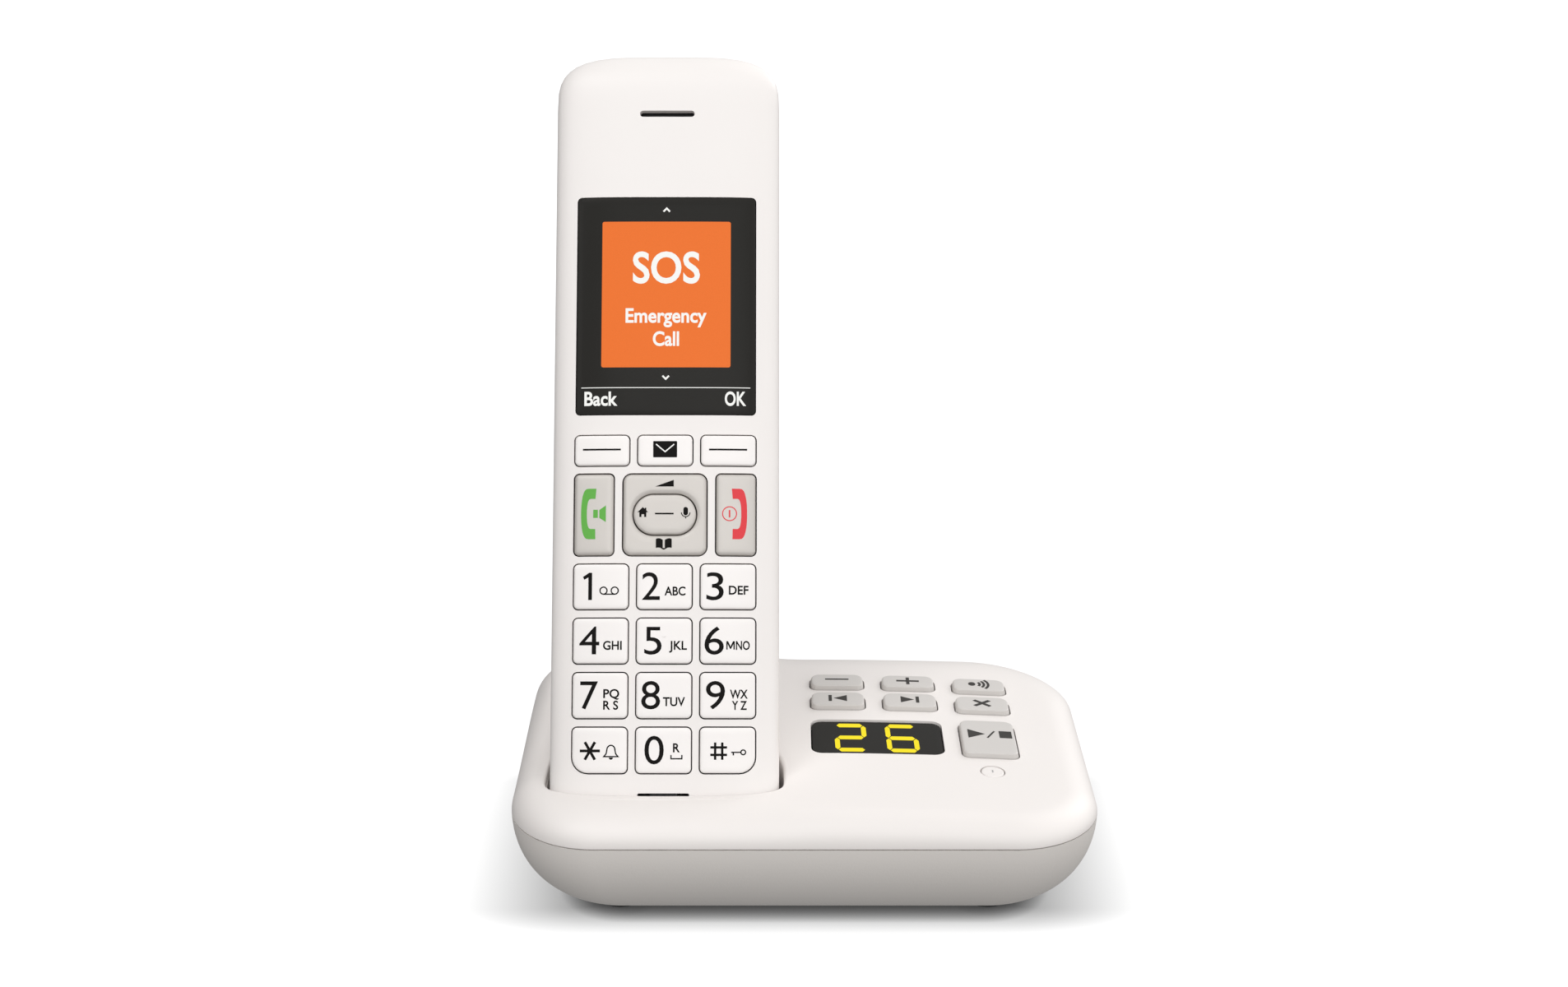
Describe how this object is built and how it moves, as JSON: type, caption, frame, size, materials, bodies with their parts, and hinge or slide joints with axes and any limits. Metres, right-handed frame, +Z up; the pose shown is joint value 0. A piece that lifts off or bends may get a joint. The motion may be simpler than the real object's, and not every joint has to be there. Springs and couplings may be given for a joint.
{
  "type": "cordless phone with base",
  "caption": "Cordless telephone handset standing in a cradle at the left of a low rounded base with its own display and keys.",
  "frame": {"origin": "desk plane, under the middle of the whole phone's bounding box", "axes": "+X to the right seen from the key side, +Y away from the user, +Z up"},
  "size_m": [0.126, 0.1054, 0.1718],
  "materials": {
    "white_casing": "satin white moulded plastic",
    "white_key": "smooth white key caps",
    "silver_key": "silver painted plastic",
    "grey_key": "light grey satin",
    "dark_glass": "near black polished window",
    "rubber": "matt rubber",
    "contact_metal": "plated contact",
    "cell": "sleeved rechargeable cell",
    "circuit_board": "green board",
    "dark_plastic": "dark satin",
    "screw_steel": "plated steel"
  },
  "bodies": {
    "base": {"base_upper_shell": "white_casing", "base_lower_shell": "white_casing", "line_socket": "dark_plastic", "power_socket": "dark_plastic", "base_display_window": "dark_glass", "base_display_module": "dark_plastic", "base_circuit_board": "circuit_board", "base_speaker": "dark_plastic", "cradle_contact_left": "contact_metal", "cradle_contact_right": "contact_metal", "foot_front_left": "rubber", "foot_front_right": "rubber", "foot_rear_left": "rubber", "foot_rear_right": "rubber", "base_screw_1": "screw_steel", "base_screw_2": "screw_steel", "base_screw_3": "screw_steel", "base_screw_4": "screw_steel"},
    "handset": {"handset_front_shell": "white_casing", "handset_rear_shell": "white_casing", "display_window": "dark_glass", "lcd_module": "dark_plastic", "keypad_mat": "rubber", "handset_circuit_board": "circuit_board", "ear_speaker": "dark_plastic", "microphone": "dark_plastic", "handsfree_speaker": "dark_plastic", "battery_cell_left": "cell", "battery_cell_right": "cell", "handset_contact_left": "contact_metal", "handset_contact_right": "contact_metal"},
    "battery_cover": {"battery_cover": "white_casing"},
    "key_1": {"key_1": "white_key"},
    "key_2": {"key_2": "white_key"},
    "key_3": {"key_3": "white_key"},
    "key_4": {"key_4": "white_key"},
    "key_5": {"key_5": "white_key"},
    "key_6": {"key_6": "white_key"},
    "key_7": {"key_7": "white_key"},
    "key_8": {"key_8": "white_key"},
    "key_9": {"key_9": "white_key"},
    "key_star": {"key_star": "white_key"},
    "key_0": {"key_0": "white_key"},
    "key_hash": {"key_hash": "white_key"},
    "softkey_left": {"softkey_left": "white_key"},
    "message_key": {"message_key": "white_key"},
    "softkey_right": {"softkey_right": "white_key"},
    "talk_key": {"talk_key": "silver_key"},
    "end_key": {"end_key": "silver_key"},
    "nav_ring_key": {"nav_ring_key": "silver_key"},
    "nav_center_key": {"nav_center_key": "silver_key"},
    "base_key_volume_down": {"base_key_volume_down": "grey_key"},
    "base_key_volume_up": {"base_key_volume_up": "grey_key"},
    "base_key_page": {"base_key_page": "grey_key"},
    "base_key_previous": {"base_key_previous": "grey_key"},
    "base_key_next": {"base_key_next": "grey_key"},
    "base_key_delete": {"base_key_delete": "grey_key"},
    "base_key_play_stop": {"base_key_play_stop": "grey_key"},
    "base_key_answer_onoff": {"base_key_answer_onoff": "white_casing"}
  },
  "joints": [
    {"name": "handset_lift", "type": "slide", "parent": "base", "child": "handset", "axis": [0, 0.454, 0.891], "range_m": [0, 0.1]},
    {"name": "battery_cover_off", "type": "slide", "parent": "handset", "child": "battery_cover", "axis": [0, 0.891, -0.454], "range_m": [0, 0.015]},
    {"name": "key_1_press", "type": "slide", "parent": "handset", "child": "key_1", "axis": [0, 0.891, -0.454], "range_m": [0, 0.0005], "stiffness_N_per_m": 400},
    {"name": "key_2_press", "type": "slide", "parent": "handset", "child": "key_2", "axis": [0, 0.891, -0.454], "range_m": [0, 0.0005], "stiffness_N_per_m": 400},
    {"name": "key_3_press", "type": "slide", "parent": "handset", "child": "key_3", "axis": [0, 0.891, -0.454], "range_m": [0, 0.0005], "stiffness_N_per_m": 400},
    {"name": "key_4_press", "type": "slide", "parent": "handset", "child": "key_4", "axis": [0, 0.891, -0.454], "range_m": [0, 0.0005], "stiffness_N_per_m": 400},
    {"name": "key_5_press", "type": "slide", "parent": "handset", "child": "key_5", "axis": [0, 0.891, -0.454], "range_m": [0, 0.0005], "stiffness_N_per_m": 400},
    {"name": "key_6_press", "type": "slide", "parent": "handset", "child": "key_6", "axis": [0, 0.891, -0.454], "range_m": [0, 0.0005], "stiffness_N_per_m": 400},
    {"name": "key_7_press", "type": "slide", "parent": "handset", "child": "key_7", "axis": [0, 0.891, -0.454], "range_m": [0, 0.0005], "stiffness_N_per_m": 400},
    {"name": "key_8_press", "type": "slide", "parent": "handset", "child": "key_8", "axis": [0, 0.891, -0.454], "range_m": [0, 0.0005], "stiffness_N_per_m": 400},
    {"name": "key_9_press", "type": "slide", "parent": "handset", "child": "key_9", "axis": [0, 0.891, -0.454], "range_m": [0, 0.0005], "stiffness_N_per_m": 400},
    {"name": "key_star_press", "type": "slide", "parent": "handset", "child": "key_star", "axis": [0, 0.891, -0.454], "range_m": [0, 0.0005], "stiffness_N_per_m": 400},
    {"name": "key_0_press", "type": "slide", "parent": "handset", "child": "key_0", "axis": [0, 0.891, -0.454], "range_m": [0, 0.0005], "stiffness_N_per_m": 400},
    {"name": "key_hash_press", "type": "slide", "parent": "handset", "child": "key_hash", "axis": [0, 0.891, -0.454], "range_m": [0, 0.0005], "stiffness_N_per_m": 400},
    {"name": "softkey_left_press", "type": "slide", "parent": "handset", "child": "softkey_left", "axis": [0, 0.891, -0.454], "range_m": [0, 0.0005], "stiffness_N_per_m": 400},
    {"name": "message_key_press", "type": "slide", "parent": "handset", "child": "message_key", "axis": [0, 0.891, -0.454], "range_m": [0, 0.0005], "stiffness_N_per_m": 400},
    {"name": "softkey_right_press", "type": "slide", "parent": "handset", "child": "softkey_right", "axis": [0, 0.891, -0.454], "range_m": [0, 0.0005], "stiffness_N_per_m": 400},
    {"name": "talk_key_press", "type": "slide", "parent": "handset", "child": "talk_key", "axis": [0, 0.891, -0.454], "range_m": [0, 0.0005], "stiffness_N_per_m": 400},
    {"name": "end_key_press", "type": "slide", "parent": "handset", "child": "end_key", "axis": [0, 0.891, -0.454], "range_m": [0, 0.0005], "stiffness_N_per_m": 400},
    {"name": "nav_ring_rock", "type": "hinge", "parent": "handset", "child": "nav_ring_key", "pos_m": [-0.03, -0.00926, 0.08037], "axis": [1, 0, 0], "range_deg": [-2.5, 2.5], "stiffness_Nm_per_rad": 0.02},
    {"name": "nav_center_rock", "type": "hinge", "parent": "nav_ring_key", "child": "nav_center_key", "pos_m": [-0.03, -0.00926, 0.08037], "axis": [0, 0.454, 0.891], "range_deg": [-2.5, 2.5], "stiffness_Nm_per_rad": 0.02},
    {"name": "base_key_volume_down_press", "type": "slide", "parent": "base", "child": "base_key_volume_down", "axis": [0, 0, -1], "range_m": [0, 0.0008], "stiffness_N_per_m": 400},
    {"name": "base_key_volume_up_press", "type": "slide", "parent": "base", "child": "base_key_volume_up", "axis": [0, 0, -1], "range_m": [0, 0.0008], "stiffness_N_per_m": 400},
    {"name": "base_key_page_press", "type": "slide", "parent": "base", "child": "base_key_page", "axis": [0, 0, -1], "range_m": [0, 0.0008], "stiffness_N_per_m": 400},
    {"name": "base_key_previous_press", "type": "slide", "parent": "base", "child": "base_key_previous", "axis": [0, 0, -1], "range_m": [0, 0.0008], "stiffness_N_per_m": 400},
    {"name": "base_key_next_press", "type": "slide", "parent": "base", "child": "base_key_next", "axis": [0, 0, -1], "range_m": [0, 0.0008], "stiffness_N_per_m": 400},
    {"name": "base_key_delete_press", "type": "slide", "parent": "base", "child": "base_key_delete", "axis": [0, 0, -1], "range_m": [0, 0.0008], "stiffness_N_per_m": 400},
    {"name": "base_key_play_stop_press", "type": "slide", "parent": "base", "child": "base_key_play_stop", "axis": [0, 0, -1], "range_m": [0, 0.0008], "stiffness_N_per_m": 400},
    {"name": "base_key_answer_onoff_press", "type": "slide", "parent": "base", "child": "base_key_answer_onoff", "axis": [0, 0, -1], "range_m": [0, 0.0008], "stiffness_N_per_m": 400}
  ]
}
